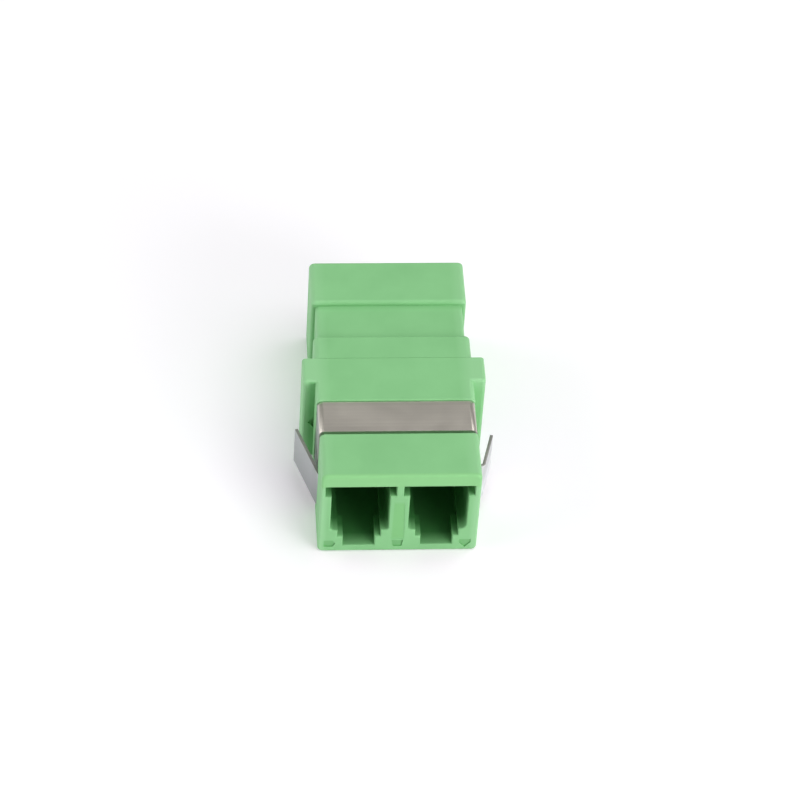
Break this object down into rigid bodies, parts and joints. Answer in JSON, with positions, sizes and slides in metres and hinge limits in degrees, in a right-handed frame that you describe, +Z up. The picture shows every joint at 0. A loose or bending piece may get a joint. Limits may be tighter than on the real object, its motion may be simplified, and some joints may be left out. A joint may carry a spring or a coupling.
{
  "type": "duplex fibre optic adapter",
  "caption": "Duplex fibre adapter: a moulded green coupler with square latching ports at both ends, a reduced side flange and a folded metal panel clip.",
  "frame": {"origin": "on the surface the adapter rests on, under the middle of its length and width", "axes": "+Y runs along the ports from the clip end to the far end, +X across the port pair to the right, +Z up, with the latch side of every port facing down"},
  "size_m": [0.0161, 0.024, 0.009],
  "materials": {
    "moulded_green": "fine satin moulding",
    "holder_green": "satin moulding",
    "zirconia": "ground ceramic",
    "spring_steel": "rolled stainless strip"
  },
  "bodies": {
    "root": {"front_housing": "moulded_green", "rear_housing": "moulded_green", "front_sleeve_holder": "holder_green", "rear_sleeve_holder": "holder_green", "split_sleeve_left": "zirconia", "split_sleeve_right": "zirconia", "spring_clip": "spring_steel"}
  },
  "joints": []
}
